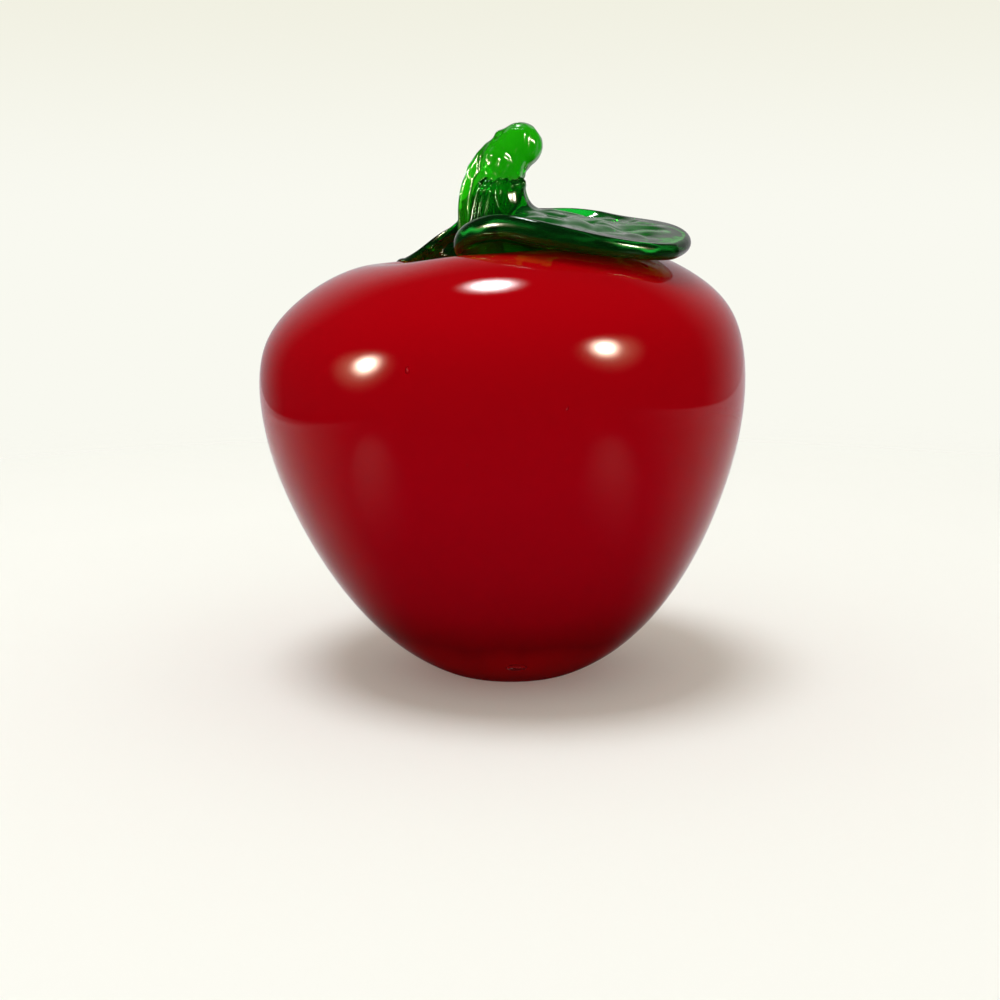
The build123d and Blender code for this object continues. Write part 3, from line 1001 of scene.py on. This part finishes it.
def paper_floor():
    """Square of paper at height 0. Far from the object it fades out, so that only the background shows.

    Matt white paper: an even pale ground that takes the soft shadow. In reflections its colour shows painted
    shade towards the viewer and two painted pools of lamp light.
    """
    mesh = bpy.data.meshes.new("paper_floor")
    corners = [(-1, -1), (1, -1), (1, 1), (-1, 1)]
    mesh.from_pydata([(x * FLOOR_HALF, y * FLOOR_HALF, 0) for x, y in corners], [], [(0, 1, 2, 3)])
    material, tree = new_material("matt white paper")
    place = node(tree, "ShaderNodeTexCoord").outputs["Object"]
    distance = node(tree, "ShaderNodeVectorMath", {0: place}, operation="LENGTH")
    fade = node(
        tree, "ShaderNodeMapRange",
        {"Value": distance.outputs["Value"], "From Min": FLOOR_FADES[0], "From Max": FLOOR_FADES[1]},
        interpolation_type="SMOOTHSTEP",
    )
    ray = node(tree, "ShaderNodeLightPath").outputs
    # Reflections see the paper's colour with painted shade and painted pools of lamp light
    shown = node(
        tree, "ShaderNodeMix",
        {"Factor": ray["Is Glossy Ray"], 6: linear(PAPER), 7: paper_in_gloss(tree, place)},
        data_type="RGBA",
    )
    paper = node(tree, "ShaderNodeBsdfDiffuse", {"Color": shown.outputs[2]})
    away = node(tree, "ShaderNodeBsdfTransparent")
    mixed = node(
        tree, "ShaderNodeMixShader", {0: fade.outputs["Result"], 1: paper.outputs[0], 2: away.outputs[0]}
    )
    node(tree, "ShaderNodeOutputMaterial", {"Surface": mixed.outputs[0]})
    mesh.materials.append(material)
    made = bpy.data.objects.new("paper_floor", mesh)
    bpy.context.scene.collection.objects.link(made)


def room_in_gloss(tree, way, height):
    """What the gloss shows of the room: the largest of the paper below, the backdrop behind and a dim level.

    A ray that goes down meets the paper at its direction times the mirror's height over its drop.
    """
    drop = node(
        tree, "ShaderNodeMapRange",
        {"Value": height, "From Min": 0.0, "From Max": -1.0, "To Min": LEAST_DROP, "To Max": 1.0},
    )
    span = node(tree, "ShaderNodeMath", {0: MIRROR_HEIGHT, 1: drop.outputs["Result"]}, operation="DIVIDE")
    floor_place = node(tree, "ShaderNodeVectorMath", {0: way, "Scale": span.outputs[0]}, operation="SCALE")
    paper = paper_in_gloss(tree, floor_place.outputs["Vector"])
    downwards = node(
        tree, "ShaderNodeMapRange", {"Value": height, "From Min": HORIZON[0], "From Max": HORIZON[1]},
        interpolation_type="SMOOTHSTEP",
    )
    below = node(tree, "ShaderNodeMath", {0: downwards.outputs["Result"], 1: paper}, operation="MULTIPLY")
    backwards = node(tree, "ShaderNodeVectorMath", {0: way, 1: BACKDROP_WAY}, operation="DOT_PRODUCT")
    wall = node(
        tree, "ShaderNodeMapRange",
        {"Value": backwards.outputs["Value"], "From Min": BACKDROP_RISES[0], "From Max": BACKDROP_RISES[1]},
        interpolation_type="SMOOTHSTEP",
    )
    squared = node(tree, "ShaderNodeMath", {0: wall.outputs["Result"], 1: 2.0}, operation="POWER")
    under_top = node(
        tree, "ShaderNodeMapRange",
        {"Value": height, "From Min": BACKDROP_TOP[0], "From Max": BACKDROP_TOP[1], "To Max": BACKDROP_LEVEL},
        interpolation_type="SMOOTHSTEP",
    )
    behind = node(
        tree, "ShaderNodeMath", {0: squared.outputs[0], 1: under_top.outputs["Result"]}, operation="MULTIPLY"
    )
    larger = node(tree, "ShaderNodeMath", {0: below.outputs[0], 1: behind.outputs[0]}, operation="MAXIMUM")
    return node(tree, "ShaderNodeMath", {0: larger.outputs[0], 1: ROOM_LEVEL}, operation="MAXIMUM").outputs[0]


def studio_world():
    """Pale to the camera and through glass, an even fill for light, and a dim room in the gloss.

    The pale background deepens a little upwards, and turns to the dark ceiling out of the camera's view.
    """
    world = bpy.data.worlds.new("studio")
    bpy.context.scene.world = world
    world.use_nodes = True
    tree = world.node_tree
    tree.nodes.clear()
    ray = node(tree, "ShaderNodeLightPath").outputs
    way = node(tree, "ShaderNodeTexCoord").outputs["Generated"]
    height = node(tree, "ShaderNodeSeparateXYZ", {0: way}).outputs["Z"]
    shade = linear(BACKGROUND)
    for upper, rises in [(BACKGROUND_TOP, BACKGROUND_TOP_RISES), (CEILING, CEILING_RISES)]:
        rise = node(
            tree, "ShaderNodeMapRange", {"Value": height, "From Min": rises[0], "From Max": rises[1]},
            interpolation_type="SMOOTHSTEP",
        )
        blend = node(
            tree, "ShaderNodeMix", {"Factor": rise.outputs["Result"], 6: shade, 7: linear(upper)},
            data_type="RGBA",
        )
        shade = blend.outputs[2]
    fill = node(tree, "ShaderNodeBackground", {"Color": linear(FILL_COLOUR), "Strength": FILL_LEVEL})
    room = node(
        tree, "ShaderNodeBackground",
        {"Color": linear(ROOM_COLOUR), "Strength": room_in_gloss(tree, way, height)},
    )
    pale = node(tree, "ShaderNodeBackground", {"Color": shade, "Strength": 1.0})
    lit = node(
        tree, "ShaderNodeMixShader", {0: ray["Is Glossy Ray"], 1: fill.outputs[0], 2: room.outputs[0]}
    )
    seen = node(
        tree, "ShaderNodeMath", {0: ray["Is Camera Ray"], 1: ray["Is Transmission Ray"]}, operation="MAXIMUM"
    )
    final = node(tree, "ShaderNodeMixShader", {0: seen.outputs[0], 1: lit.outputs[0], 2: pale.outputs[0]})
    node(tree, "ShaderNodeOutputWorld", {"Surface": final.outputs[0]})


def lamp(name, direction, distance, width, height, power, colour="#FFFFFF", soft=0.0):
    """Oval area lamp, at a distance in metres along a direction from the apple's middle, facing it.

    A soft lamp is bright at its middle and fades to its edge, as a bulb behind a diffuser does. The fade goes
    by distance in the lamp's own coordinates, which run from 0 to 1. It shows as a highlight alone, and the
    plain lamp gives the light.
    """
    light = bpy.data.lights.new(name, "AREA")
    light.shape = "ELLIPSE"
    light.size = width
    light.size_y = height
    light.energy = power
    light.color = linear(colour)[:3]
    if soft:
        light.use_nodes = True
        tree = light.node_tree
        place = node(tree, "ShaderNodeNewGeometry").outputs["Parametric"]
        from_middle = node(tree, "ShaderNodeVectorMath", {0: place, 1: (0.5, 0.5, 0)}, operation="DISTANCE")
        fade = node(
            tree, "ShaderNodeMapRange",
            {"Value": from_middle.outputs["Value"], "From Min": 0.5, "From Max": 0.0},
            interpolation_type="SMOOTHSTEP",
        )
        bright = node(tree, "ShaderNodeMath", {0: fade.outputs["Result"], 1: soft}, operation="POWER")
        tree.links.new(bright.outputs[0], tree.nodes["Emission"].inputs["Strength"])
    made = bpy.data.objects.new(name, light)
    away = np.array(direction) / np.linalg.norm(direction)
    made.location = np.array(LAMP_TARGET) + away * distance
    made.rotation_euler = (math.acos(away[2]), 0, math.atan2(away[0], -away[1]))
    made.visible_glossy = soft > 0
    made.visible_diffuse = soft == 0
    bpy.context.scene.collection.objects.link(made)


paper_floor()
studio_world()

# Each lamp's direction, distance, width, height and power, then its colour and how soft it is
lamp("overhead_key", (-0.12, -0.07, 1.0), 1.60, 0.64, 0.64, 12.0, "#F2F7FF")
lamp("back_lamp", (-0.082, 0.34, 0.93), 0.60, 0.22, 0.24, 9.0, soft=2.8)
lamp("left_lamp", (-0.855, -0.395, 0.327), 0.70, 0.50, 0.62, 118.0, "#FFF0D8", soft=8.0)
lamp("left_glow", (-0.883, -0.368, 0.290), 0.70, 0.52, 0.52, 4.2, "#FFDDB0", soft=1.5)
lamp("right_glow", (0.700, -0.559, 0.446), 0.70, 0.52, 0.52, 4.2, "#FFDDB0", soft=1.5)
lamp("right_lamp", (0.659, -0.573, 0.487), 0.70, 0.50, 0.62, 118.0, "#FFF0D8", soft=8.0)

camera = bpy.data.cameras.new("photo_camera")
camera.sensor_width = SENSOR
camera.lens = FOCAL_PIXELS / IMAGE_SIDE * SENSOR
camera.clip_start = CAMERA_NEAR
camera_object = bpy.data.objects.new("photo_camera", camera)
camera_object.location = CAMERA_PLACE
camera_object.rotation_euler = (math.pi / 2 - CAMERA_PITCH, 0, 0)
bpy.context.scene.collection.objects.link(camera_object)
bpy.context.scene.camera = camera_object
bpy.context.scene.view_settings.view_transform = "Standard"
